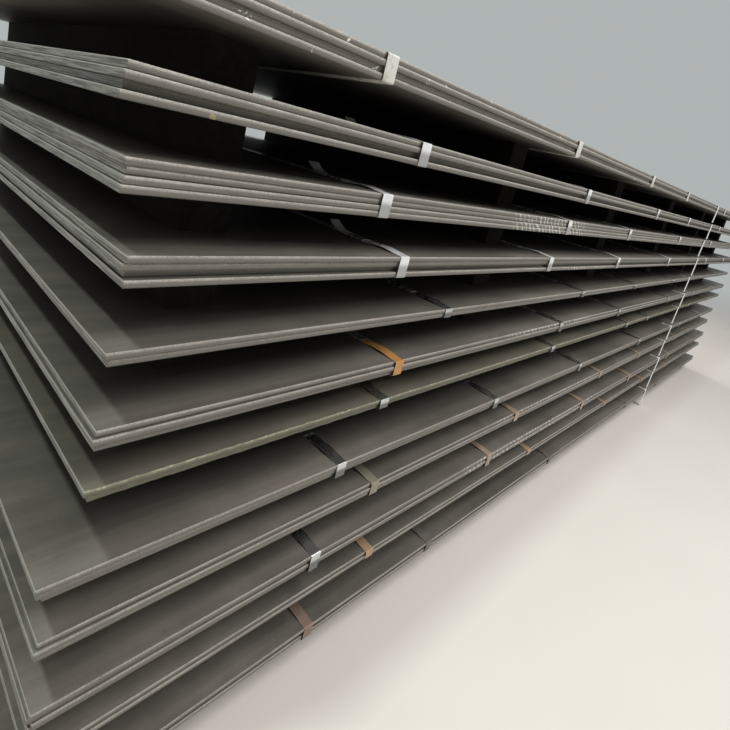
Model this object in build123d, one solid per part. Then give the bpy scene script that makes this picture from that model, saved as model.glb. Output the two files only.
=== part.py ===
"""Stack of strapped bundles of hot-rolled steel plate, kept apart by timber spacers.

Millimetres, +Z up. X runs along the plates with the near end at -X, and Y runs across them with the
labelled long side at -Y. The origin lies on the floor under the middle of the stack.
"""

import os
from collections import namedtuple
from math import cos, radians, sin, sqrt

from build123d import *

# Plate
PLATE_LENGTH = 6000.0
PLATE_WIDTH = 1500.0
PLATE_THICKNESS = 12.0
MILL_EDGE_BULGE = 1.5
PLATE_SEAM = 0.3

# Timber spacers, sawn to four heights
LOW_TIMBER = 70.0
COMMON_TIMBER = 85.0
TALL_TIMBER = 100.0
BIG_TIMBER = 125.0
SPACER_COUNT = 6
SPACER_WIDTH = 100.0
SPACER_TO_LABELLED_SIDE = 150.0
SPACER_TO_BACK_SIDE = 40.0
SPACER_TO_NEAR_END = 250.0
SPACER_TO_FAR_END = 250.0

# Steel straps round each bundle
STRAP_WIDTH = 32.0
STRAP_THICKNESS = 1.0
STRAP_CLEARANCE = 0.2

# The strap's end laps over its start under a crimped seal, and the first one springs up
SEAL_LENGTH = 46.0
SEAL_WALL = 1.0
SEAL_CLEARANCE = 0.15
SEAL_TO_EDGE = 150.0
CRIMP_DEPTH = 1.5
CRIMP_WIDTH = 7.0
CRIMP_SPACING = 17.0
LAP_START = 40.0
LAP_END = 46.0
SPRUNG_TAILS = 1
TAIL_RADIUS = 75.0
TAIL_ANGLE = 42.0

# Label strip folded over the long edge
LABEL_WIDTH = 42.0
LABEL_LENGTH = 175.0
LABEL_THICKNESS = 0.6
LABEL_CLEARANCE = 0.2
LABEL_TO_FAR_END = 1850.0
LABEL_SHARE_OF_GAP = 0.85

# Bundles from the top down. set_x and set_y place the bundle in the stack, away from the near end and
# from the labelled side. setbacks and ends hold one value for each plate, top plate first: how far its
# long edge and its near end stand back. spacer is the height of the timber under the bundle. straps
# holds each strap's place, counted in steps from timber to timber, so 1.5 lies midway between the second
# timber and the third.
Bundle = namedtuple("Bundle", "set_x set_y setbacks ends spacer straps")
BUNDLES = [
    Bundle(-6, 2, (4, 0, 7, 1), (3, 0, 5, 0), COMMON_TIMBER, (0.21, 1.08, 1.92, 2.62, 3.84, 4.66)),
    Bundle(10, 0, (5, 2, 15, 0), (7, 4, 9, 0), LOW_TIMBER, (0.36, 1.27, 2.17, 2.85, 3.88, 4.62)),
    Bundle(30, 6, (3, 5, 1, 0), (2, 6, 3, 0), COMMON_TIMBER, (0.29, 1.21, 1.88, 2.83, 3.80, 4.70)),
    Bundle(46, 3, (0, 4, 14, 1), (4, 0, 9, 5), TALL_TIMBER, (0.39, 1.15, 1.85, 2.75, 3.86, 4.64)),
    Bundle(42, 8, (0, 3), (0, 6), TALL_TIMBER, (0.63, 1.57, 2.28, 3.08, 3.90, 4.76)),
    Bundle(38, 0, (4, 0, 6), (5, 0, 7), LOW_TIMBER, (0.47, 1.43, 2.13, 3.10, 3.84, 4.68)),
    Bundle(40, 5, (0, 5), (0, 8), BIG_TIMBER, (0.46, 1.44, 2.38, 2.77, 3.88, 4.66)),
    Bundle(-14, 2, (0, 3, 8), (0, 4, 14), COMMON_TIMBER, (0.36, 1.08, 1.84, 2.77, 3.82, 4.60)),
    Bundle(-4, 7, (4, 0, 3), (6, 0, 4), TALL_TIMBER, (0.52, 1.31, 2.23, 2.92, 3.86, 4.72)),
    Bundle(-2, 0, (0, 5, 2, 7), (3, 0, 8, 4), LOW_TIMBER, (0.35, 1.17, 2.08, 2.85, 3.80, 4.63)),
    Bundle(8, 4, (3, 0), (0, 5), BIG_TIMBER, (0.58, 1.57, 2.52, 3.27, 3.90, 4.74)),
    Bundle(0, 3, (0, 6, 2), (4, 0, 6), TALL_TIMBER, (0.40, 0.92, 1.89, 3.08, 3.84, 4.69)),
]


def bundle_height(bundle):
    count = len(bundle.setbacks)
    return count * PLATE_THICKNESS + (count - 1) * PLATE_SEAM


def bundle_floors():
    """The height of each bundle's underside, from the top bundle down."""
    floors = []
    height = 0.0
    for bundle in reversed(BUNDLES):
        height += bundle.spacer
        floors.append(height)
        height += bundle_height(bundle)
    return floors[::-1]


def middle(values):
    return (min(values) + max(values)) / 2


STACK_X = -middle([b.set_x + end for b in BUNDLES for end in b.ends])
STACK_Y = -middle([b.set_y + back for b in BUNDLES for back in b.setbacks])
NEAR_END = STACK_X - PLATE_LENGTH / 2
FAR_END = STACK_X + PLATE_LENGTH / 2
LABELLED_SIDE = STACK_Y - PLATE_WIDTH / 2


def evenly(first, last, count):
    """Places from first to last, an equal step apart."""
    step = (last - first) / (count - 1)
    return [first + step * index for index in range(count)]


def side(bundle):
    """The furthest reach of the bundle's plates towards the labelled side, and away from it."""
    low = LABELLED_SIDE + bundle.set_y + min(bundle.setbacks)
    high = LABELLED_SIDE + PLATE_WIDTH + bundle.set_y + max(bundle.setbacks)
    return low, high


def spacer_places():
    return evenly(NEAR_END + SPACER_TO_NEAR_END, FAR_END - SPACER_TO_FAR_END, SPACER_COUNT)


def strap_places(bundle):
    """The straps' centres along X, all clear of the timbers."""
    first, second = spacer_places()[:2]
    return [first + place * (second - first) for place in bundle.straps]


def plate_section():
    flat = PLATE_WIDTH / 2 - MILL_EDGE_BULGE
    half = PLATE_THICKNESS / 2
    edges = [
        Line((-flat, -half), (flat, -half)),
        ThreePointArc((flat, -half), (PLATE_WIDTH / 2, 0), (flat, half)),
        Line((flat, half), (-flat, half)),
        ThreePointArc((-flat, half), (-PLATE_WIDTH / 2, 0), (-flat, -half)),
    ]
    return make_face(edges)


def plates(bundle, floor):
    """The bundle's plates, with square-cut ends and long edges that bulge as they leave the rolls."""
    plate = extrude(Plane.YZ * plate_section(), PLATE_LENGTH / 2, both=True)
    top = floor + bundle_height(bundle)
    placed = []
    for index, (back, end) in enumerate(zip(bundle.setbacks, bundle.ends)):
        z = top - PLATE_THICKNESS / 2 - index * (PLATE_THICKNESS + PLATE_SEAM)
        placed.append(Pos(STACK_X + bundle.set_x + end, STACK_Y + bundle.set_y + back, z) * plate)
    return placed


def strap_section(bundle, floor, sprung):
    """One strap seen along X: a closed band bent over the plates' edges, and its lapped end."""
    low, high = side(bundle)
    width = high - low + 2 * STRAP_CLEARANCE
    height = bundle_height(bundle) + 2 * STRAP_CLEARANCE
    inner = Rectangle(width, height)
    outer = Rectangle(width + 2 * STRAP_THICKNESS, height + 2 * STRAP_THICKNESS)
    inner_bend = MILL_EDGE_BULGE
    outer_bend = inner_bend + (2 - sqrt(2)) * STRAP_THICKNESS
    band = chamfer(outer.vertices(), outer_bend) - chamfer(inner.vertices(), inner_bend)
    top = floor + bundle_height(bundle)
    lap_y = low + SEAL_TO_EDGE
    lap_z = top + STRAP_CLEARANCE + STRAP_THICKNESS
    lap = Rectangle(LAP_START + LAP_END, STRAP_THICKNESS, align=Align.MIN)
    section = Pos((low + high) / 2, (floor + top) / 2) * band + Pos(lap_y - LAP_START, lap_z) * lap
    if sprung:
        section += tail_section(lap_y + LAP_END, lap_z)
    return section


def tail_section(y, z):
    """The free end, a strip bent upwards on an arc that leaves the lap without a kink."""
    centre_z = z + STRAP_THICKNESS + TAIL_RADIUS
    turn = radians(TAIL_ANGLE)

    def point(radius, angle):
        return (y + radius * sin(angle), centre_z - radius * cos(angle))

    inner, outer = TAIL_RADIUS, TAIL_RADIUS + STRAP_THICKNESS
    edges = [
        ThreePointArc(point(outer, 0), point(outer, turn / 2), point(outer, turn)),
        Line(point(outer, turn), point(inner, turn)),
        ThreePointArc(point(inner, turn), point(inner, turn / 2), point(inner, 0)),
        Line(point(inner, 0), point(outer, 0)),
    ]
    return make_face(edges)


def straps(bundle, floor):
    placed = []
    for index, x in enumerate(strap_places(bundle)):
        section = strap_section(bundle, floor, sprung=index < SPRUNG_TAILS)
        placed.append(Pos(x, 0, 0) * extrude(Plane.YZ * section, STRAP_WIDTH / 2, both=True))
    return placed


def seals(bundle, floor):
    """Channel-shaped seals over the lapped straps, notched twice down each side where they are crimped."""
    foot = floor + bundle_height(bundle) + SEAL_CLEARANCE
    strap_top = floor + bundle_height(bundle) + STRAP_CLEARANCE + 2 * STRAP_THICKNESS
    inner_height = strap_top + SEAL_CLEARANCE - foot
    inner_width = STRAP_WIDTH + 2 * SEAL_CLEARANCE
    outer_width = inner_width + 2 * SEAL_WALL
    outer_height = inner_height + SEAL_WALL
    bottom = (Align.CENTER, Align.MIN)
    section = Rectangle(outer_width, outer_height, align=bottom) - Rectangle(
        inner_width, inner_height, align=bottom
    )
    seal = extrude(Plane.XZ * section, SEAL_LENGTH / 2, both=True)
    crimp = Polygon((-CRIMP_WIDTH / 2, 0), (CRIMP_WIDTH / 2, 0), (0, CRIMP_DEPTH), align=None)
    for y in (-CRIMP_SPACING / 2, CRIMP_SPACING / 2):
        seal -= Pos(0, y, 0) * extrude(Plane.YZ * crimp, outer_width, both=True)
    y = side(bundle)[0] + SEAL_TO_EDGE
    return [Pos(x, y, foot) * seal for x in strap_places(bundle)]


def spacers(bundle, floor):
    low = LABELLED_SIDE + SPACER_TO_LABELLED_SIDE
    length = PLATE_WIDTH - SPACER_TO_LABELLED_SIDE - SPACER_TO_BACK_SIDE
    spacer = Box(SPACER_WIDTH, length, bundle.spacer, align=(Align.CENTER, Align.MIN, Align.MAX))
    return [Pos(x, low, floor) * spacer for x in spacer_places()]


def label(bundle, floor):
    """A strip that lies on the top plate, folds over the long edge and hangs in front of the gap."""
    top = floor + bundle_height(bundle) + LABEL_CLEARANCE
    drop = bundle_height(bundle) + LABEL_SHARE_OF_GAP * bundle.spacer
    flap = LABEL_LENGTH - drop
    y = side(bundle)[0] - LABEL_CLEARANCE - LABEL_THICKNESS
    corner = (Align.MIN, Align.MIN)
    lying = Pos(y, top) * Rectangle(flap, LABEL_THICKNESS, align=corner)
    hanging = Pos(y, top + LABEL_THICKNESS - drop) * Rectangle(LABEL_THICKNESS, drop, align=corner)
    strip = extrude(Plane.YZ * (lying + hanging), LABEL_WIDTH / 2, both=True)
    return Pos(FAR_END - LABEL_TO_FAR_END, 0, 0) * strip


def write(name, solids):
    export_step(Compound(label=name, children=solids), os.path.join("parts", name + ".step"))


def main():
    os.makedirs("parts", exist_ok=True)
    labels = []
    for number, (bundle, floor) in enumerate(zip(BUNDLES, bundle_floors()), start=1):
        write(f"plates_{number:02d}", plates(bundle, floor))
        write(f"straps_{number:02d}", straps(bundle, floor))
        write(f"seals_{number:02d}", seals(bundle, floor))
        write(f"spacers_{number:02d}", spacers(bundle, floor))
        labels.append(label(bundle, floor))
    write("label_strips", labels)


if __name__ == "__main__":
    main()
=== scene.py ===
"""Dresses a free-standing stack of strapped bundles of hot-rolled steel plate.

Metres, +Z up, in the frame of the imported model. Each dressed piece takes its place from the solid that
it stands for. The plates run along X with the near end at -X, and the labelled side faces -Y.
"""

import math
import random

import bmesh
import bpy
from mathutils import Matrix, Vector, noise


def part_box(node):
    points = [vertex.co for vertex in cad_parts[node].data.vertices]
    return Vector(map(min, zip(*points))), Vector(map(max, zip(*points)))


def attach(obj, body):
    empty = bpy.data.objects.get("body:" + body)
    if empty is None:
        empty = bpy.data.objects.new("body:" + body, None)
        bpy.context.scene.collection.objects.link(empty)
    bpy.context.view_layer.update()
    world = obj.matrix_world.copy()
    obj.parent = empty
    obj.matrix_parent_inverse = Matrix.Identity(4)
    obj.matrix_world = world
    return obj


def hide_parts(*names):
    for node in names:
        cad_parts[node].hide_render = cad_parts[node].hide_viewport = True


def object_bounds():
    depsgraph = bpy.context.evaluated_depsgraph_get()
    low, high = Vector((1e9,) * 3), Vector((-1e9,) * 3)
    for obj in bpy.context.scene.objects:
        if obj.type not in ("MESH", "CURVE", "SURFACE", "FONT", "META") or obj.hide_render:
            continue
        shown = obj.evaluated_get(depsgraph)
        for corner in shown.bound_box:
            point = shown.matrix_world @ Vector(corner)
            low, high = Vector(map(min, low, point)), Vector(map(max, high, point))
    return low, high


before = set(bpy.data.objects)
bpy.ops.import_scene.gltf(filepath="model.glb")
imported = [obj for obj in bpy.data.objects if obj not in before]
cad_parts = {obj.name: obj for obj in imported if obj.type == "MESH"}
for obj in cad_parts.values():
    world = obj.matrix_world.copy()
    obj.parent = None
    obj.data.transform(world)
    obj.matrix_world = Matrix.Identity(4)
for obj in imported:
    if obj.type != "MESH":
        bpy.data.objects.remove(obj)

bl_info = {
    "name": "Strapped Plate Stack",
    "version": (1, 0, 0),
    "blender": (4, 5, 0),
    "location": "View3D > Sidebar > Plate Stack",
    "description": "Dresses a stack of strapped steel plate bundles and lights it",
    "category": "Object",
}

CAD_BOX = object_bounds()
BUNDLES = sorted(name.split("_")[1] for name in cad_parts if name.startswith("plates_"))

# Two corners of a mesh closer than this are one, and faces that meet at more than this angle look sharp
WELD_DISTANCE = 1e-6
SHARP_ANGLE = math.radians(35)

# Plates, with how fast a long edge wanders, ripples and is toothed along its length
MILL_EDGE_BULGE = 0.0015
EDGE_ARC_STEPS = 8
PLATE_STATION = 0.05
SERRATED_STATION = 0.008
CUT_EDGE_BREAK = 0.0011
WANDER_RATE = 1.7
RIPPLE_RATE = 9.0
TOOTH_RATE = 55.0

# Straps
STRAP_THICKNESS = 0.001
STRAP_BEND_RADIUS = 0.004
BEND_STEPS = 5
LEAST_BEND = math.radians(20)
SEAL_TO_EDGE = 0.150
LAP_BEFORE_SEAL = 0.040
LAP_AFTER_SEAL = 0.046
SPRUNG_HEIGHT = 0.008
TAIL_RADIUS = 0.075
TAIL_ANGLE = math.radians(42)
TAIL_STEPS = 10

# The strap's lift off the plate: where it starts past the edge, how far the strap has sunk there as a share
# of its half thickness, how sharply it rises, and the way that it takes to settle on the lap
LIFT_START = 0.014
LIFT_SUNK = 0.4
LIFT_CURVE = 1.5
LIFT_STEPS = 9
LAP_EASE = 0.004

# Seals. A crimp draws the sides in by its depth, and the crown down by a share of that.
SEAL_WALL = 0.001
SEAL_STEPS = 26
SEAL_CORNER = 1.2 * SEAL_WALL
SEAL_CORNER_CUT = 0.4
SEAL_INNER_CORNER = 0.0006
CRIMP_SPACING = 0.017
CRIMP_DEPTH = 0.0032
CRIMP_SPREAD = 0.0028
CRIMP_CROWN_SHARE = 0.15

# Label strips, a little narrower than the solids so that they can hang askew
FILM_THICKNESS = 0.0003
FILM_BEND_RADIUS = 0.003
FILM_WIDTH_SHARE = 0.94
FILM_CURL = (0.0005, 0.0025)
FILM_STEPS = 8

# Marks that the shear leaves on some long edges: radians a metre, and how far a run takes to fade. Each run
# has its start and end, measured from the near end, and the share of the bundle's height that it covers.
NOTCH_TURNS = 2 * math.pi / 0.030
NOTCH_RUN_FADE = 0.08
NOTCH_RUNS = {
    "03": (1.15, 1.80, 0.0, 1.0),
    "04": (1.65, 2.15, 0.0, 0.25),
    "06": (1.35, 2.20, 0.66, 1.0),
    "09": (1.50, 2.75, 0.66, 1.0),
    "10": (1.35, 2.75, 0.0, 1.0),
}

# Finishes by bundle, from the top down
DUSTY_BUNDLES = {"01"}
DABBED_BUNDLES = {"02"}
OLIVE_BUNDLES = {"07"}

# A dab of yellow paint on a lowest long edge, measured from the near end
DAB_FROM_END = 0.155
DAB_RADIUS = 0.006

# Strap finishes by bundle, and of single straps, counted from the near end. The rest are blued.
# The bright straps of bundles 2 to 4 are the blued steel painted lighter as a highlight
BUNDLE_STRAPS = {
    "01": "dusty", "02": "bright", "03": "bright", "04": "bright",
    "09": "tan", "10": "tan", "11": "amber", "12": "grey",
}
SINGLE_STRAPS = {("06", 0): "orange", ("09", 0): "drab", ("10", 0): "blued", ("12", 0): "brown"}
BARE_STEEL_STRAPS = {"blued", "bright", "dusty"}

# Colours of small marks
RUST = (0.20, 0.125, 0.075, 1.0)
PALE_CHIP = (0.72, 0.71, 0.68, 1.0)
OLIVE_CHIP = (0.62, 0.58, 0.46, 1.0)
YELLOW_PAINT = (0.40, 0.34, 0.14, 1.0)
WHITE_SPLASH = (0.75, 0.74, 0.70, 1.0)
SHEAR_MARK = (0.72, 0.71, 0.67, 1.0)
WORN_LACQUER = (0.16, 0.13, 0.10, 1.0)
DARK_RUST = (0.10, 0.045, 0.02, 1.0)
ZINC_GREY = (0.34, 0.34, 0.33, 1.0)
SEAL_STAIN = (0.08, 0.078, 0.074, 1.0)

# The floor, and how far it takes to fade into the backdrop
FLOOR_HALF_SIDE = 40
FADE_WIDTH = 9.0

# Where each lamp stands and what it points at
KEY_LAMP = ((-0.6, -3.6, 6.2), (-0.6, -0.5, 0.7))
END_LAMP = ((-5.0, -0.3, 6.0), (-3.0, -0.2, 0.7))
BACK_LAMP = ((3.5, 4.5, 4.5), (0.8, 0.0, 0.7))
END_LAMP_SIZE = 0.35
END_LAMP_COLOUR = (0.86, 1.0, 0.95)
WHITE = (1.0, 1.0, 1.0)

# Camera, at the photo's viewing angle
IMAGE_SIDE = 730
FOCAL_PIXELS = 509.6
CENTRE_PIXEL = (345.0, 255.0)
SENSOR_WIDTH = 36.0
CAMERA_PLACE = (-3.2676, -1.417, 1.41)
CAMERA_HEADING = math.radians(42.31)
CAMERA_DOWN = math.radians(12.27)
CAMERA_ROLL = math.radians(13.59)
CAMERA_CLIP = (0.02, 200.0)


class Value:
    """A number, colour or vector that varies over a surface. Operators on a number add Math nodes."""

    def __init__(self, paint, socket):
        self.paint = paint
        self.socket = socket

    def math(self, operation, *values):
        """A Math node's result."""
        inputs = dict(enumerate(values))
        return self.paint.node("ShaderNodeMath", {"operation": operation}, inputs)

    def __add__(self, other):
        return self.math("ADD", self, other)

    def __sub__(self, other):
        return self.math("SUBTRACT", self, other)

    def __rsub__(self, other):
        return self.math("SUBTRACT", other, self)

    def __mul__(self, other):
        return self.math("MULTIPLY", self, other)

    def __abs__(self):
        return self.math("ABSOLUTE", self)

    __radd__ = __add__
    __rmul__ = __mul__

    def span(self, low, high):
        """0 where the number is low and 1 where it is high, held in between."""
        settings = {"interpolation_type": "SMOOTHSTEP"}
        return self.paint.node("ShaderNodeMapRange", settings, {0: self, 1: low, 2: high})


class Nodes:
    """The nodes of a material or a world, all made by one method."""

    def __init__(self, owner):
        owner.use_nodes = True
        self.tree = owner.node_tree
        self.tree.nodes.clear()

    def node(self, kind, settings=None, inputs=None, output=0):
        """Adds a node with its settings made first, then its sockets' values or links."""
        made = self.tree.nodes.new(kind)
        for key, setting in (settings or {}).items():
            setattr(made, key, setting)
        for key, value in (inputs or {}).items():
            if isinstance(value, Value):
                self.tree.links.new(value.socket, made.inputs[key])
            else:
                made.inputs[key].default_value = value
        if isinstance(output, str) or len(made.outputs) > output:
            return Value(self, made.outputs[output])
        return made

    def seen_rays(self):
        """1 for the rays by which the backdrop is seen or mirrored, and 0 for those that give light."""
        camera = self.node("ShaderNodeLightPath", output="Is Camera Ray")
        return camera.math("MAXIMUM", camera, self.node("ShaderNodeLightPath", output="Is Glossy Ray"))


class Paint(Nodes):
    """A material's nodes."""

    def __init__(self, name):
        self.material = bpy.data.materials.new(name)
        super().__init__(self.material)
        self.place = self.node("ShaderNodeTexCoord", output="Object")

    def stretched(self, scale, offset=(0, 0, 0)):
        """The place on the object, scaled along each axis."""
        inputs = {"Vector": self.place, "Location": offset, "Scale": scale}
        return self.node("ShaderNodeMapping", {}, inputs)

    def cloud(self, scale, detail=4.0, roughness=0.55, distortion=0.0, vector=None):
        """Soft noise from 0 to 1 at so many spots a metre."""
        return self.node("ShaderNodeTexNoise", {}, {
            "Vector": vector or self.place,
            "Scale": scale,
            "Detail": detail,
            "Roughness": roughness,
            "Distortion": distortion,
        })

    def mix(self, factor, first, second):
        """The first colour where the factor is 0 and the second where it is 1."""
        return self.node("ShaderNodeMix", {"data_type": "RGBA"}, {0: factor, 6: first, 7: second}, output=2)

    def parts(self, vector):
        """The three numbers of a vector."""
        split = self.node("ShaderNodeSeparateXYZ", {}, {0: vector})
        return [Value(self, socket) for socket in split.socket.node.outputs]

    def facing(self):
        """The outward direction of the surface, as three numbers."""
        return self.parts(self.node("ShaderNodeNewGeometry", output="Normal"))

    def distance(self, point):
        """How far the place on the object is from a point."""
        inputs = {0: self.place, 1: point}
        return self.node("ShaderNodeVectorMath", {"operation": "DISTANCE"}, inputs, "Value")

    def bump(self, height, strength, distance):
        """The surface's direction, tilted by a height."""
        inputs = {"Height": height, "Strength": strength, "Distance": distance}
        return self.node("ShaderNodeBump", {}, inputs)

    def finish(self, inputs):
        """Ends the material in one Principled shader with these sockets."""
        shader = self.node("ShaderNodeBsdfPrincipled", {}, inputs)
        self.node("ShaderNodeOutputMaterial", {}, {"Surface": shader})
        return self.material


def tone(colour, share=1.0):
    """A colour as a socket takes it, darkened to a share of itself or lightened."""
    return (*(share * part for part in colour), 1.0)


class StackLooks(bpy.types.PropertyGroup):
    """The sizes and colours of the stack that a user would change."""

    edge_waver: bpy.props.FloatProperty(
        name="Edge waver", description="How far the rolled long edges wander inwards",
        default=0.0012, min=0.0, unit="LENGTH",
    )
    strap_lift: bpy.props.FloatProperty(
        name="Strap lift", description="How far a strap stands off between the edge and its seal",
        default=0.0035, min=0.0, unit="LENGTH",
    )
    rim_serration: bpy.props.FloatProperty(
        name="Rim serration", description="Depth of the teeth along the yellowed bundle's long edges",
        default=0.0036, min=0.0, unit="LENGTH",
    )
    # How far in from the rims the faces stay free of the painted shade
    unshaded_band: bpy.props.FloatProperty(
        name="Unshaded band", description="How far in from its rims a plate's face is free of painted shade",
        default=0.24, min=0.01, unit="LENGTH",
    )
    scale_dark: bpy.props.FloatVectorProperty(
        name="Mill scale", description="Darkest colour of the plates' faces",
        default=(0.098, 0.090, 0.076), subtype="COLOR",
    )
    scale_light: bpy.props.FloatVectorProperty(
        name="Worn scale", description="Lightest colour of the plates' faces",
        default=(0.235, 0.208, 0.176), subtype="COLOR",
    )
    scale_olive: bpy.props.FloatVectorProperty(
        name="Olive scale", description="Cast of the bundle that has yellowed",
        default=(0.215, 0.190, 0.140), subtype="COLOR",
    )
    # Pale colour of the top bundle's upward faces: dust, and painted sheen from the sky
    dust: bpy.props.FloatVectorProperty(
        name="Dust", description="Colour of the dust on the top bundle",
        default=(0.42, 0.39, 0.345), subtype="COLOR",
    )
    edge_colour: bpy.props.FloatVectorProperty(
        name="Long edge", description="Colour of the rolled long edges",
        default=(0.46, 0.425, 0.375), subtype="COLOR",
    )
    edge_olive: bpy.props.FloatVectorProperty(
        name="Olive edge", description="Colour of the yellowed bundle's long edges",
        default=(0.36, 0.335, 0.245), subtype="COLOR",
    )
    end_colour: bpy.props.FloatVectorProperty(
        name="Cut end", description="Colour of the cut ends",
        default=(0.345, 0.335, 0.30), subtype="COLOR",
    )
    # The bare straps show this colour where the painted highlight falls; elsewhere they carry painted shade
    strap_bright: bpy.props.FloatVectorProperty(
        name="Bare strap", description="Colour of the bare steel straps where they are bright",
        default=(0.93, 0.94, 0.93), subtype="COLOR",
    )
    strap_dusty: bpy.props.FloatVectorProperty(
        name="Dusty strap", description="Colour of the top bundle's straps",
        default=(0.70, 0.68, 0.62), subtype="COLOR",
    )
    strap_tan: bpy.props.FloatVectorProperty(
        name="Tan strap", description="Colour of the lacquered straps",
        default=(0.37, 0.275, 0.185), subtype="COLOR",
    )
    strap_amber: bpy.props.FloatVectorProperty(
        name="Amber strap", description="Colour of the warmer lacquered straps",
        default=(0.41, 0.265, 0.15), subtype="COLOR",
    )
    strap_drab: bpy.props.FloatVectorProperty(
        name="Drab strap", description="Colour of the greyish olive strap",
        default=(0.26, 0.235, 0.18), subtype="COLOR",
    )
    strap_grey: bpy.props.FloatVectorProperty(
        name="Grey strap", description="Colour of the floor bundle's further straps",
        default=(0.15, 0.135, 0.12), subtype="COLOR",
    )
    strap_orange: bpy.props.FloatVectorProperty(
        name="Orange strap", description="Colour of the strap with the warmest lacquer",
        default=(0.50, 0.24, 0.07), subtype="COLOR",
    )
    strap_brown: bpy.props.FloatVectorProperty(
        name="Brown strap", description="Colour of the floor bundle's first strap",
        default=(0.24, 0.165, 0.125), subtype="COLOR",
    )
    # Near black: painted shade, so that the spacers read as the dark gaps between the bundles
    timber: bpy.props.FloatVectorProperty(
        name="Timber", description="Colour of the spacers",
        default=(0.018, 0.015, 0.012), subtype="COLOR",
    )
    film: bpy.props.FloatVectorProperty(
        name="Label film", description="Colour of the label strips",
        default=(0.80, 0.80, 0.78), subtype="COLOR",
    )


class StageLooks(bpy.types.PropertyGroup):
    """The floor, the lamps and the backdrop."""

    floor_colour: bpy.props.FloatVectorProperty(
        name="Floor", description="Colour of the floor",
        default=(0.735, 0.68, 0.625), subtype="COLOR",
    )
    backdrop: bpy.props.FloatVectorProperty(
        name="Backdrop", description="Colour behind the stack",
        default=(0.43, 0.46, 0.455), subtype="COLOR",
    )
    sky_strength: bpy.props.FloatProperty(
        name="Sky strength", description="Light from all round", default=0.36, min=0.0,
    )
    key_power: bpy.props.FloatProperty(
        name="Key power", description="Power of the large soft lamp", default=380.0, min=0.0, unit="POWER",
    )
    key_size: bpy.props.FloatProperty(
        name="Key size", description="Side of the large soft lamp", default=4.0, min=0.1, unit="LENGTH",
    )
    end_power: bpy.props.FloatProperty(
        name="End power", description="Power of the lamp by the near end",
        default=165.0, min=0.0, unit="POWER",
    )
    back_power: bpy.props.FloatProperty(
        name="Back power", description="Power of the lamp behind the stack",
        default=190.0, min=0.0, unit="POWER",
    )
    floor_fade: bpy.props.FloatProperty(
        name="Floor fade", description="How far out the floor starts to fade into the backdrop",
        default=4.5, min=0.0, unit="LENGTH",
    )


def solid_boxes(node):
    """The lowest and highest corner of each separate solid in a CAD node."""
    mesh = bmesh.new()
    mesh.from_mesh(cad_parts[node].data)
    bmesh.ops.remove_doubles(mesh, verts=mesh.verts, dist=WELD_DISTANCE)
    boxes = []
    seen = set()
    for start in mesh.verts:
        if start in seen:
            continue
        island = [start]
        seen.add(start)
        for vert in island:
            for edge in vert.link_edges:
                other = edge.other_vert(vert)
                if other not in seen:
                    seen.add(other)
                    island.append(other)
        corners = [[pick(vert.co[axis] for vert in island) for axis in range(3)] for pick in (min, max)]
        boxes.append((Vector(corners[0]), Vector(corners[1])))
    mesh.free()
    return boxes


def loft(mesh, rings, ladder=False):
    """Joins rings of points, each ring to the next, and closes both ends, in one face or rung by rung."""
    rows = [[mesh.verts.new(point) for point in ring] for ring in rings]
    count = len(rings[0])
    for low, high in zip(rows, rows[1:]):
        for index in range(count):
            after = (index + 1) % count
            mesh.faces.new((low[index], low[after], high[after], high[index]))
    for row in (rows[0][::-1], rows[-1]):
        if not ladder:
            mesh.faces.new(row)
            continue
        for index in range(count // 2 - 1):
            mesh.faces.new((row[index], row[index + 1], row[count - 2 - index], row[count - 1 - index]))
    return rows


def set_levels(mesh, rows, low, high):
    """Marks how far up each point lies, from 0 at low to 1 at high."""
    level = mesh.verts.layers.float["level"]
    for row in rows:
        for vert in row:
            vert[level] = (vert.co.z - low) / (high - low)


def finish_piece(mesh, name, material, nodes):
    """Makes the mesh a piece that rides with the stack and stands for the CAD nodes."""
    bmesh.ops.recalc_face_normals(mesh, faces=mesh.faces)
    data = bpy.data.meshes.new(name)
    mesh.to_mesh(data)
    mesh.free()
    data.shade_smooth()
    data.set_sharp_from_angle(angle=SHARP_ANGLE)
    piece = bpy.data.objects.new(name, data)
    bpy.context.scene.collection.objects.link(piece)
    data.materials.append(material)
    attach(piece, "root")
    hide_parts(*nodes)


def plate_stations(low, high, spacing):
    """Places along a plate: the broken cut edges at its ends and even steps between them."""
    steps = round((high - low) / spacing)
    inner = [low + (high - low) * index / steps for index in range(1, steps)]
    return [low, low + CUT_EDGE_BREAK, *inner, high - CUT_EDGE_BREAK, high]


def plate_ring(x, low, high, inset, waver, seed, serration=0.0):
    """The plate's outline at one place along it."""
    half = (high.z - low.z) / 2 - inset
    middle = (high.z + low.z) / 2
    radius = (MILL_EDGE_BULGE ** 2 + half ** 2) / (2 * MILL_EDGE_BULGE)
    sweep = math.asin(half / radius)
    points = []
    for sign, edge in ((-1, low.y), (1, high.y)):
        wander = noise.noise(Vector((x * WANDER_RATE, seed * 3.1 + sign, 0.3)))
        wander += 0.4 * noise.noise(Vector((x * RIPPLE_RATE, seed * 5.7 + sign, 1.9)))
        teeth = noise.noise(Vector((x * TOOTH_RATE, seed * 2.3 + sign, 4.1)))
        inwards = inset + waver * (0.6 + 0.4 * wander) + serration * (0.5 + 0.5 * teeth)
        for step in range(EDGE_ARC_STEPS + 1):
            angle = sweep * (1 - 2 * step / EDGE_ARC_STEPS)
            depth = inwards + radius * (1 - math.cos(angle))
            points.append(Vector((x, edge - sign * depth, middle - sign * radius * math.sin(angle))))
    return points


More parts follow.
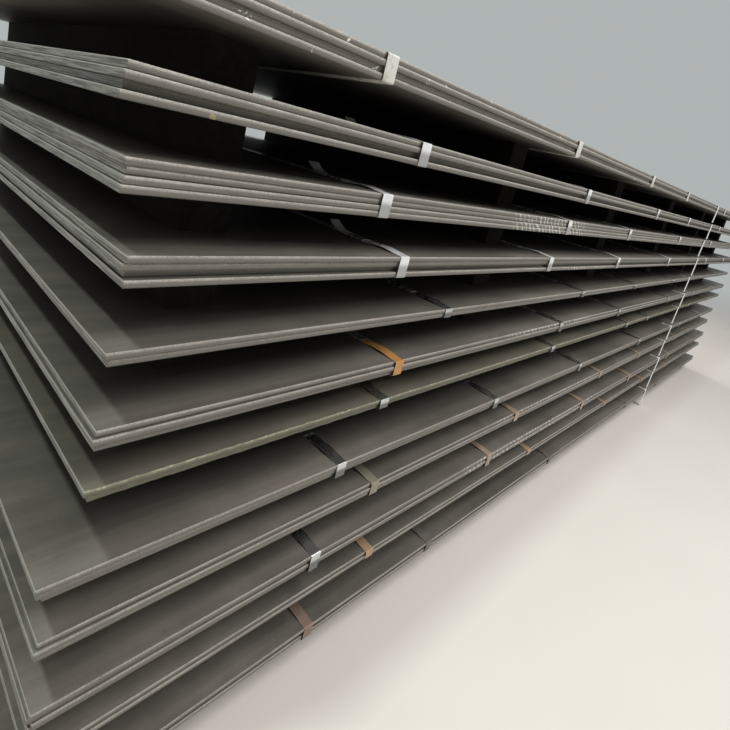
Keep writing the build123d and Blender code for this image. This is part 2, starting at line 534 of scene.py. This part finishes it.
def build_plates(looks):
    """Builds each bundle's plates with bulging long edges that wander a little."""
    plain = plate_paint("mill_scale", looks, looks.scale_light)
    for bundle in BUNDLES:
        serrated = bundle in OLIVE_BUNDLES
        spacing = SERRATED_STATION if serrated else PLATE_STATION
        serration = looks.rim_serration if serrated else 0.0
        mesh = bmesh.new()
        mesh.verts.layers.float.new("level")
        for index, (low, high) in enumerate(solid_boxes(f"plates_{bundle}")):
            seed = int(bundle) * 10 + index
            rings = []
            for x in plate_stations(low.x, high.x, spacing):
                inset = CUT_EDGE_BREAK if x in (low.x, high.x) else 0.0
                rings.append(plate_ring(x, low, high, inset, looks.edge_waver, seed, serration))
            set_levels(mesh, loft(mesh, rings, ladder=True), low.z, high.z)
        material = special_plate_paint(bundle, looks) or plain
        finish_piece(mesh, f"steel_plates_{bundle}", material, [f"plates_{bundle}"])


def special_plate_paint(bundle, looks):
    """The finish of a bundle that differs from plain mill scale."""
    if bundle in DUSTY_BUNDLES:
        return plate_paint("dust_and_sheen_mill_scale", looks, looks.scale_light, dusty=True)
    if bundle in OLIVE_BUNDLES:
        return plate_paint("olive_mill_scale", looks, looks.scale_olive, edge=looks.edge_olive)
    if bundle in NOTCH_RUNS:
        start, end, bottom, top = NOTCH_RUNS[bundle]
        low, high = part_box(f"plates_{bundle}")
        height = high.z - low.z
        run = (CAD_BOX[0][0] + start, CAD_BOX[0][0] + end, low.z + bottom * height, low.z + top * height)
        return plate_paint(f"notched_mill_scale_{bundle}", looks, looks.scale_light, run=run)
    if bundle in DABBED_BUNDLES:
        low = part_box(f"plates_{bundle}")[0]
        dab = (CAD_BOX[0][0] + DAB_FROM_END, low.y, low.z + DAB_RADIUS / 2)
        return plate_paint("dabbed_mill_scale", looks, looks.scale_light, dab=dab)
    return None


def plate_paint(name, looks, light, edge=None, dusty=False, run=None, dab=None):
    """Mill scale on the faces, a roll edge with painted highlight and shade on the long sides, and torn
    metal on the cut ends.
    """
    paint = Paint(name)
    across, along, up = paint.facing()
    level = paint.node("ShaderNodeAttribute", {"attribute_name": "level"}, output="Fac")
    end = abs(across).span(0.6, 0.8)
    side = abs(along).span(0.35, 0.8)
    mottle = paint.cloud(1.3, 6.0, 0.6, 0.6)
    face = face_colour(paint, looks, light, mottle)
    rust = paint.cloud(3.1, 6.0, 0.7, 1.2).span(0.58, 0.75) * paint.cloud(45.0, 4.0, 0.7).span(0.45, 0.65)
    face = paint.mix(rust * 0.4, face, RUST)
    # Painted shade on the faces away from the rims, under the bundle above
    face = painted_gap_shade(paint, looks, face)
    # The top bundle's upward faces are pale with dust and with painted sheen from the sky
    if dusty:
        face = dust_and_sheen(paint, looks, face, up.span(0.7, 0.95))
    lines = paint.cloud(1.0, 4.0, 0.7, 0.0, paint.stretched((3.0, 300.0, 300.0)))
    grime = paint.cloud(16.0, 6.0, 0.7, 0.4).span(0.35, 0.7)
    grit = paint.cloud(330.0, 3.0, 0.8).span(0.40, 0.62)
    roll_edge = edge_colour(paint, edge or looks.edge_colour, level, grime, lines, grit)
    if run:
        roll_edge = notch_marks(paint, roll_edge, run)
    if dusty:
        chips = paint.cloud(70.0, 2.0, 0.5, 0.6).span(0.70, 0.74)
        roll_edge = paint.mix(chips, roll_edge, PALE_CHIP)
    if edge:
        chips = paint.cloud(95.0, 3.0, 0.6, 0.4).span(0.52, 0.64) * level.span(0.6, 0.95)
        roll_edge = paint.mix(chips * 0.6, roll_edge, OLIVE_CHIP)
    if dab:
        spread = paint.distance(dab) + paint.cloud(160.0, 3.0, 0.6) * DAB_RADIUS
        smear = 1 - spread.span(DAB_RADIUS, DAB_RADIUS * 1.6)
        roll_edge = paint.mix(smear * 0.75, roll_edge, YELLOW_PAINT)
    tears = paint.cloud(1.0, 5.0, 0.65, 0.3, paint.stretched((1.0, 9.0, 420.0)))
    cut = end_colour(paint, looks, level, tears, grime, grit)
    colour = paint.mix(end, paint.mix(side, face, roll_edge), cut)
    grain = paint.cloud(260.0, 4.0, 0.7)
    height = grain * 0.4 + paint.cloud(28.0, 4.0, 0.6) * 0.6 + lines * side * 0.5 + tears * end * 1.6
    height = height + grit * side * 0.25
    roughness = 0.40 + mottle.span(0.3, 0.7) * 0.14 + grain * 0.12 + side * 0.08 + rust * 0.2
    return paint.finish({
        "Base Color": colour,
        "Metallic": 0.2,
        "Roughness": roughness,
        "Normal": paint.bump(height, 0.4, 0.0008),
    })


def face_colour(paint, looks, light, mottle):
    """Mill scale, mottled and streaked along the rolls, with dark flecks."""
    patch = paint.cloud(7.0, 5.0, 0.65, 0.3).span(0.42, 0.7)
    streak = paint.cloud(1.0, 5.0, 0.6, 0.0, paint.stretched((0.7, 22.0, 22.0)))
    fleck = paint.cloud(90.0, 3.0, 0.7).span(0.60, 0.76)
    shade = mottle.span(0.3, 0.72) * 0.5 + patch * 0.2 + streak.span(0.35, 0.7) * 0.35
    face = paint.mix(shade, tone(looks.scale_dark), tone(light))
    return paint.mix(fleck * 0.3, face, tone(looks.scale_dark, 0.6))


def painted_gap_shade(paint, looks, face):
    """Painted shade on the face away from the rims, under the bundle above."""
    x, y, _ = paint.parts(paint.place)
    length = CAD_BOX[1][0] - looks.unshaded_band
    width = CAD_BOX[1][1] - looks.unshaded_band
    near_end = abs(x).span(length, CAD_BOX[1][0])
    near_side = abs(y).span(width, CAD_BOX[1][1])
    unshaded = near_end.math("MAXIMUM", near_end, near_side)
    # Darkens the face towards its middle as painted shade
    return paint.mix(unshaded, tone(looks.scale_dark, 0.58), face)


def dust_and_sheen(paint, looks, face, upwards):
    """Pale dust and painted sheen from the sky on upward faces, thinner in streaks, with a few white
    splashes.
    """
    thin = paint.cloud(1.0, 5.0, 0.6, 0.0, paint.stretched((0.5, 6.0, 6.0))).span(0.3, 0.7)
    patchy = paint.cloud(2.3, 6.0, 0.65, 0.8).span(0.3, 0.75)
    dusty = paint.mix(upwards * (0.98 - thin * 0.13 - patchy * 0.16), face, tone(looks.dust))
    splash = paint.cloud(14.0, 2.0, 0.5, 0.8).span(0.73, 0.76)
    return paint.mix(splash * upwards, dusty, WHITE_SPLASH)


def edge_colour(paint, edge, level, grime, lines, grit):
    """A long edge with a painted highlight along its upper rim and painted shade towards the seam below."""
    shade = tone(edge, 0.42)
    seam = tone(edge, 0.16)
    # Painted highlight towards the upper rim, painted shade towards the seam below
    wear_and_lit_rim = paint.mix(level.span(0.50, 0.92), shade, tone(edge))
    wear_and_lit_rim = paint.mix(level.span(0.02, 0.20), seam, wear_and_lit_rim)
    marks = grime * 0.30 + lines.span(0.4, 0.7) * 0.20 + grit * 0.45
    return paint.mix(marks, wear_and_lit_rim, tone(edge, 0.33))


def end_colour(paint, looks, level, tears, grime, grit):
    """A sheared end: lighter along its upper rim, darker along its lowest, and torn metal in streaks
    between.
    """
    dark = tone(looks.end_colour, 0.22)
    torn = paint.mix(tears.span(0.42, 0.58) * 0.8 + grime * 0.2, tone(looks.end_colour), dark)
    torn = paint.mix(level.span(0.80, 0.93), torn, tone(looks.end_colour, 1.5))
    torn = paint.mix(level.span(0.0, 0.12), dark, torn)
    return paint.mix(grit * 0.25, torn, dark)


def notch_marks(paint, colour, run):
    """Short pale slanted marks along a stretch of a long edge, as the shear leaves them."""
    x, _, z = paint.parts(paint.place)
    sway = paint.cloud(14.0, 2.0, 0.5) * 9.0
    slant = (x + z * 0.9) * NOTCH_TURNS + sway
    ticks = slant.math("SINE", slant).span(0.30, 0.75)
    start, end, bottom, top = run
    stretch = x.span(start, start + NOTCH_RUN_FADE) * (1 - x.span(end - NOTCH_RUN_FADE, end))
    band = z.span(bottom - 0.001, bottom) * (1 - z.span(top, top + 0.001))
    broken = paint.cloud(60.0, 3.0, 0.6).span(0.38, 0.56)
    return paint.mix(ticks * stretch * band * broken * 0.7, colour, SHEAR_MARK)


def bend(points, radius, steps):
    """Rounds the corners of a line of (y, z) points with arcs."""
    path = [points[0]]
    for before, corner, after in zip(points, points[1:], points[2:]):
        inward = (before - corner).normalized()
        outward = (after - corner).normalized()
        turn = math.pi - inward.angle(outward)
        if turn < LEAST_BEND:
            path.append(corner)
            continue
        reach = radius * math.tan(turn / 2)
        start = corner + inward * reach
        end = corner + outward * reach
        for step in range(steps + 1):
            share = step / steps
            first = start.lerp(corner, share)
            second = corner.lerp(end, share)
            path.append(first.lerp(second, share))
    path.append(points[-1])
    return path


def strip_rings(path, x, width, thickness, lean=0.0):
    """Rings of a flat strip that follows a line of (y, z) points, centred at x."""
    rings = []
    for index, point in enumerate(path):
        ahead = path[min(index + 1, len(path) - 1)]
        behind = path[max(index - 1, 0)]
        along = (ahead - behind).normalized()
        out = Vector((-along.y, along.x)) * thickness / 2
        shift = lean * index / len(path)
        ring = []
        for side, level in ((-0.5, -1), (0.5, -1), (0.5, 1), (-0.5, 1)):
            place = point + out * level
            ring.append(Vector((x + shift + side * width, place.x, place.y)))
        rings.append(ring)
    return rings


def strap_path(low, back, top, sprung, lift):
    """The strap's line, from its lower end under the seal, round the bundle and over to its free end."""
    half = STRAP_THICKNESS / 2
    seal = low.y + SEAL_TO_EDGE
    upper = top + STRAP_THICKNESS
    shoulder = top - half * LIFT_SUNK
    corners = [
        Vector((seal - LAP_BEFORE_SEAL, top - half)),
        Vector((back - half, top - half)),
        Vector((back - half, low.z + half)),
        Vector((low.y + half, low.z + half)),
        Vector((low.y + half, top - half)),
        Vector((low.y + LIFT_START, shoulder)),
    ]
    path = bend(corners, STRAP_BEND_RADIUS, BEND_STEPS)
    span = SEAL_TO_EDGE - LAP_BEFORE_SEAL - LIFT_START
    for step in range(1, LIFT_STEPS):
        share = step / LIFT_STEPS
        height = shoulder + share * STRAP_THICKNESS + lift * math.sin(math.pi * share) ** LIFT_CURVE
        path.append(Vector((low.y + LIFT_START + span * share, height)))
    path.append(Vector((seal - LAP_BEFORE_SEAL + LAP_EASE, upper - half)))
    path.append(Vector((seal + LAP_AFTER_SEAL, upper - half)))
    if sprung:
        centre = upper - half + TAIL_RADIUS
        for step in range(1, TAIL_STEPS + 1):
            angle = TAIL_ANGLE * step / TAIL_STEPS
            reach = TAIL_RADIUS * math.sin(angle)
            path.append(Vector((seal + LAP_AFTER_SEAL + reach, centre - TAIL_RADIUS * math.cos(angle))))
    return path


def strap_paints(looks):
    """The material of each strap finish."""
    coats = {
        "dusty": looks.strap_dusty,
        "tan": looks.strap_tan,
        "amber": looks.strap_amber,
        "orange": looks.strap_orange,
        "drab": looks.strap_drab,
        "brown": looks.strap_brown,
        "grey": looks.strap_grey,
    }
    paints = {name: coated_strap_paint(f"{name}_strap", colour) for name, colour in coats.items()}
    paints["blued"] = bare_strap_paint("blued_strap", looks, side_shade=0.30, metallic=1.0)
    # The bright finish is the blued steel as a lit copy: no extra painted shade on its sides, and a lower
    # metallic share so that it reads lighter
    paints["bright"] = bare_strap_paint("painted_highlight_strap", looks, side_shade=0.0, metallic=0.4)
    return paints


def strap_finish(bundle, index):
    """The finish of one strap, counted from the near end."""
    return SINGLE_STRAPS.get((bundle, index)) or BUNDLE_STRAPS.get(bundle, "blued")


def build_straps(looks):
    """Builds the straps round each bundle, lapped under their seals, with sprung ends."""
    paints = strap_paints(looks)
    for bundle in BUNDLES:
        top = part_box(f"plates_{bundle}")[1].z
        boxes = sorted(solid_boxes(f"straps_{bundle}"), key=lambda box: box[0].x)
        meshes = {}
        for index, (low, high) in enumerate(boxes):
            lower = low.z
            strap_top = top + (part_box(f"plates_{bundle}")[0].z - lower)
            sprung = high.z - top > SPRUNG_HEIGHT
            path = strap_path(low, high.y, strap_top, sprung, looks.strap_lift)
            rings = strip_rings(path, (low.x + high.x) / 2, high.x - low.x, STRAP_THICKNESS)
            finish = strap_finish(bundle, index)
            if finish not in meshes:
                meshes[finish] = bmesh.new()
                meshes[finish].verts.layers.float.new("level")
            set_levels(meshes[finish], loft(meshes[finish], rings), lower, strap_top)
        for finish, mesh in meshes.items():
            slot = "blued_strap" if finish in BARE_STEEL_STRAPS else "lacquered_strap"
            finish_piece(mesh, f"straps_{finish}_{bundle}", paints[finish], [f"straps_{bundle}"])


def bare_strap_paint(name, looks, side_shade, metallic):
    """Steel strap: a painted highlight on its upper part and painted shade below and on its sides, with
    fine lines and stains.
    """
    paint = Paint(name)
    side = 1 - paint.facing()[2].span(0.02, 0.30)
    level = paint.node("ShaderNodeAttribute", {"attribute_name": "level"}, output="Fac")
    low = 1 - level.span(0.45, 0.75)
    stain = paint.cloud(22.0, 4.0, 0.6).span(0.35, 0.75)
    lines = paint.cloud(1.0, 3.0, 0.6, 0.0, paint.stretched((900.0, 12.0, 12.0)))
    wear_and_lit_rim = tone(looks.strap_bright, 0.5)
    dark = tone(looks.strap_bright, 0.22)
    colour = paint.mix(stain * 0.2 + lines.span(0.45, 0.7) * 0.2, tone(looks.strap_bright), wear_and_lit_rim)
    # Painted shade on the sides, heavier towards the bottom; the upper part is left light as a painted
    # highlight
    colour = paint.mix(side * (low * 0.7 + side_shade), colour, dark)
    return paint.finish({
        "Base Color": colour,
        "Metallic": metallic,
        "Roughness": 0.22 + stain * 0.06 + lines * 0.08 + side * 0.20,
        "Normal": paint.bump(lines, 0.2, 0.0003),
    })


def coated_strap_paint(name, base):
    """Strap with a coat of lacquer or dust, worn through to rust and grey steel."""
    paint = Paint(name)
    wear = paint.cloud(60.0, 5.0, 0.7).span(0.5, 0.68)
    rust = paint.cloud(150.0, 4.0, 0.7).span(0.55, 0.72)
    colour = paint.mix(wear * 0.55, tone(base), WORN_LACQUER)
    colour = paint.mix(rust * 0.5, colour, DARK_RUST)
    return paint.finish({
        "Base Color": colour,
        "Metallic": 0.15,
        "Roughness": 0.42 + wear * 0.2,
        "Normal": paint.bump(wear + rust, 0.3, 0.0003),
    })


def seal_ring(y, centre, foot, top, half_width, pinch):
    """A crimped seal's outline at one place along the strap."""
    half = half_width - pinch
    inner = half - SEAL_WALL
    crown = top - pinch * CRIMP_CROWN_SHARE
    rise = SEAL_CORNER
    cut = rise * SEAL_CORNER_CUT
    ceiling = crown - SEAL_WALL
    shape = [
        (-half, foot), (-half, crown - rise), (-half + cut, crown - cut), (-half + rise, crown),
        (half - rise, crown), (half - cut, crown - cut), (half, crown - rise), (half, foot),
        (inner, foot), (inner, crown - rise), (inner - SEAL_INNER_CORNER, ceiling),
        (-inner + SEAL_INNER_CORNER, ceiling), (-inner, crown - rise), (-inner, foot),
    ]
    return [Vector((centre + x, y, z)) for x, z in shape]


def build_seals():
    """Builds the seals, pinched at two crimps."""
    material = seal_paint()
    for bundle in BUNDLES:
        mesh = bmesh.new()
        for low, high in solid_boxes(f"seals_{bundle}"):
            centre = (low.x + high.x) / 2
            middle = (low.y + high.y) / 2
            half_width = (high.x - low.x) / 2
            rings = []
            for step in range(SEAL_STEPS + 1):
                y = low.y + (high.y - low.y) * step / SEAL_STEPS
                nearest = min(abs(y - middle - sign * CRIMP_SPACING / 2) for sign in (-1, 1))
                pinch = CRIMP_DEPTH * math.exp(-((nearest / CRIMP_SPREAD) ** 2))
                rings.append(seal_ring(y, centre, low.z, high.z, half_width, pinch))
            loft(mesh, rings)
        finish_piece(mesh, f"seals_crimped_{bundle}", material, [f"seals_{bundle}"])


def seal_paint():
    """Dull zinc-grey sheet, stained dark."""
    paint = Paint("seal_steel")
    stain = paint.cloud(120.0, 5.0, 0.7).span(0.4, 0.65)
    colour = paint.mix(stain, ZINC_GREY, SEAL_STAIN)
    return paint.finish({
        "Base Color": colour,
        "Metallic": 0.7,
        "Roughness": 0.38 + stain * 0.25,
        "Normal": paint.bump(stain, 0.3, 0.0004),
    })


def timber_paint(looks):
    """Sawn timber: grain along its length, saw marks across, darker in patches; its near-black colour is
    painted shade.
    """
    paint = Paint("sawn_timber")
    grain = paint.cloud(1.0, 6.0, 0.6, 0.5, paint.stretched((60.0, 2.2, 60.0)))
    saw = paint.cloud(1.0, 2.0, 0.5, 0.0, paint.stretched((8.0, 240.0, 8.0)))
    dirt = paint.cloud(9.0, 5.0, 0.65).span(0.4, 0.7)
    pale = tone(looks.timber, 1.5)
    colour = paint.mix(grain.span(0.35, 0.65), tone(looks.timber), pale)
    colour = paint.mix(dirt * 0.5, colour, tone(looks.timber, 0.35))
    return paint.finish({
        "Base Color": colour,
        "Specular IOR Level": 0.12,
        "Roughness": 0.78 + grain * 0.12,
        "Normal": paint.bump(grain + saw * 0.5, 0.5, 0.0012),
    })


def dress_spacers(looks):
    """Gives the timber spacers their finish."""
    material = timber_paint(looks)
    for bundle in BUNDLES:
        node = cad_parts[f"spacers_{bundle}"]
        node.data.materials.clear()
        node.data.materials.append(material)


def build_labels(looks):
    """Builds the bare film strips that fold over the long edge and hang in front of the gap."""
    material = film_paint(looks)
    mesh = bmesh.new()
    boxes = sorted(solid_boxes("label_strips"), key=lambda box: -box[1].z)
    for number, (low, high) in enumerate(boxes):
        draw = random.Random(number)
        width = high.x - low.x
        half = FILM_THICKNESS / 2
        corners = [
            Vector((high.y, high.z - half)),
            Vector((low.y + half, high.z - half)),
            Vector((low.y + half, low.z)),
        ]
        path = bend(corners, FILM_BEND_RADIUS, BEND_STEPS)
        start = path[-2]
        end = path.pop()
        curl = draw.uniform(*FILM_CURL)
        for step in range(1, FILM_STEPS + 1):
            share = step / FILM_STEPS
            point = start.lerp(end, share)
            path.append(Vector((point.x + curl * (1 - math.cos(math.pi * share)) / 2, point.y)))
        narrow = width * FILM_WIDTH_SHARE
        lean = draw.uniform(-0.5, 0.5) * (width - narrow)
        loft(mesh, strip_rings(path, (low.x + high.x) / 2 - lean / 2, narrow, FILM_THICKNESS, lean))
    finish_piece(mesh, "label_films", material, ["label_strips"])


def film_paint(looks):
    """White film with faint creases and grime."""
    paint = Paint("label_film")
    grime = paint.cloud(40.0, 5.0, 0.65).span(0.5, 0.8)
    crease = paint.cloud(1.0, 3.0, 0.6, 0.4, paint.stretched((25.0, 60.0, 60.0)))
    colour = paint.mix(grime * 0.3, tone(looks.film), tone(looks.film, 0.7))
    return paint.finish({
        "Base Color": colour,
        "Roughness": 0.38 + grime * 0.2,
        "Normal": paint.bump(crease, 0.3, 0.0008),
    })


def add_lamp(name, place, aim, power, size, colour=WHITE):
    """Adds a square lamp at a place, turned to what it points at."""
    data = bpy.data.lights.new(name, "AREA")
    data.energy = power
    data.size = size
    data.color = colour
    lamp = bpy.data.objects.new(name, data)
    bpy.context.scene.collection.objects.link(lamp)
    lamp.location = place
    lamp.rotation_euler = (Vector(aim) - Vector(place)).to_track_quat("-Z", "Y").to_euler()


def build_floor(looks):
    """A large pale floor that keeps the stack's shadow."""
    mesh = bmesh.new()
    bmesh.ops.create_grid(mesh, x_segments=8, y_segments=8, size=FLOOR_HALF_SIDE)
    data = bpy.data.meshes.new("floor")
    mesh.to_mesh(data)
    mesh.free()
    floor = bpy.data.objects.new("floor", data)
    bpy.context.scene.collection.objects.link(floor)
    paint = Paint("pale_floor")
    shade = paint.cloud(0.9, 6.0, 0.6, 0.4)
    colour = paint.mix(shade, tone(looks.floor_colour), tone(looks.floor_colour, 0.88))
    ground = paint.node("ShaderNodeBsdfPrincipled", {}, {"Base Color": colour, "Roughness": 0.7})
    glow = paint.node("ShaderNodeEmission", {}, {"Color": tone(looks.backdrop)})
    out = paint.distance((0.0, 0.0, 0.0)).span(looks.floor_fade, looks.floor_fade + FADE_WIDTH)
    shown = paint.node("ShaderNodeMixShader", {}, {0: out * paint.seen_rays(), 1: ground, 2: glow})
    paint.node("ShaderNodeOutputMaterial", {}, {"Surface": shown})
    data.materials.append(paint.material)


def build_sky(looks):
    """Even light from all round, with the backdrop's colour where it is seen or mirrored."""
    world = bpy.data.worlds.new("sky")
    bpy.context.scene.world = world
    sky = Nodes(world)
    light = sky.node("ShaderNodeBackground", {}, {"Color": tone(WHITE), "Strength": looks.sky_strength})
    shown = sky.node("ShaderNodeBackground", {}, {"Color": tone(looks.backdrop)})
    both = sky.node("ShaderNodeMixShader", {}, {0: sky.seen_rays(), 1: light, 2: shown})
    sky.node("ShaderNodeOutputWorld", {}, {"Surface": both})


def place_camera():
    """Sets the camera close by the near corner, turned and tipped as the photo was taken."""
    forward = Vector((
        math.cos(CAMERA_DOWN) * math.cos(CAMERA_HEADING),
        math.cos(CAMERA_DOWN) * math.sin(CAMERA_HEADING),
        -math.sin(CAMERA_DOWN),
    ))
    level = forward.cross(Vector((0, 0, 1))).normalized()
    upright = level.cross(forward)
    right = level * math.cos(CAMERA_ROLL) + upright * math.sin(CAMERA_ROLL)
    up = right.cross(forward)
    data = bpy.data.cameras.new("camera")
    data.sensor_width = SENSOR_WIDTH
    data.lens = SENSOR_WIDTH * FOCAL_PIXELS / IMAGE_SIDE
    data.shift_x = 0.5 - CENTRE_PIXEL[0] / IMAGE_SIDE
    data.shift_y = CENTRE_PIXEL[1] / IMAGE_SIDE - 0.5
    data.clip_start = CAMERA_CLIP[0]
    data.clip_end = CAMERA_CLIP[1]
    camera = bpy.data.objects.new("camera", data)
    bpy.context.scene.collection.objects.link(camera)
    turned = Matrix((right, up, -forward)).transposed().to_4x4()
    camera.matrix_world = Matrix.Translation(CAMERA_PLACE) @ turned
    bpy.context.scene.camera = camera


class STACK_OT_plates(bpy.types.Operator):
    """Build the steel plates of every bundle"""

    bl_idname = "stack.plates"
    bl_label = "Steel Plates"

    def execute(self, context):
        build_plates(context.scene.stack_looks)
        return {"FINISHED"}


class STACK_OT_straps(bpy.types.Operator):
    """Build the straps round every bundle"""

    bl_idname = "stack.straps"
    bl_label = "Straps"

    def execute(self, context):
        build_straps(context.scene.stack_looks)
        return {"FINISHED"}


class STACK_OT_seals(bpy.types.Operator):
    """Build the crimped seals on the straps"""

    bl_idname = "stack.seals"
    bl_label = "Seals"

    def execute(self, context):
        build_seals()
        return {"FINISHED"}


class STACK_OT_spacers(bpy.types.Operator):
    """Finish the timber spacers between the bundles"""

    bl_idname = "stack.spacers"
    bl_label = "Timber Spacers"

    def execute(self, context):
        dress_spacers(context.scene.stack_looks)
        return {"FINISHED"}


class STACK_OT_labels(bpy.types.Operator):
    """Build the film strips on the long edges"""

    bl_idname = "stack.labels"
    bl_label = "Label Strips"

    def execute(self, context):
        build_labels(context.scene.stack_looks)
        return {"FINISHED"}


class STACK_OT_stage(bpy.types.Operator):
    """Set the floor, the light and the camera"""

    bl_idname = "stack.stage"
    bl_label = "Stage"

    def execute(self, context):
        looks = context.scene.stage_looks
        context.scene.view_settings.view_transform = "Standard"
        build_floor(looks)
        build_sky(looks)
        add_lamp("key", *KEY_LAMP, looks.key_power, looks.key_size)
        add_lamp("end_light", *END_LAMP, looks.end_power, END_LAMP_SIZE, END_LAMP_COLOUR)
        add_lamp("back_light", *BACK_LAMP, looks.back_power, looks.key_size)
        place_camera()
        return {"FINISHED"}


OPERATORS = (
    STACK_OT_plates,
    STACK_OT_straps,
    STACK_OT_seals,
    STACK_OT_spacers,
    STACK_OT_labels,
    STACK_OT_stage,
)


class STACK_PT_panel(bpy.types.Panel):
    """Lists the steps that dress the stack"""

    bl_idname = "STACK_PT_panel"
    bl_label = "Plate Stack"
    bl_space_type = "VIEW_3D"
    bl_region_type = "UI"
    bl_category = "Plate Stack"

    def draw(self, context):
        for looks in (context.scene.stack_looks, context.scene.stage_looks):
            for name in looks.__annotations__:
                self.layout.prop(looks, name)
        for operator in OPERATORS:
            self.layout.operator(operator.bl_idname)


CLASSES = (StackLooks, StageLooks, *OPERATORS, STACK_PT_panel)


def register():
    for one in CLASSES:
        bpy.utils.register_class(one)
    bpy.types.Scene.stack_looks = bpy.props.PointerProperty(type=StackLooks)
    bpy.types.Scene.stage_looks = bpy.props.PointerProperty(type=StageLooks)


def unregister():
    del bpy.types.Scene.stage_looks
    del bpy.types.Scene.stack_looks
    for one in reversed(CLASSES):
        bpy.utils.unregister_class(one)


def main():
    register()
    bpy.ops.stack.stage()
    bpy.ops.stack.plates()
    bpy.ops.stack.straps()
    bpy.ops.stack.seals()
    bpy.ops.stack.spacers()
    bpy.ops.stack.labels()


if __name__ == "__main__":
    main()
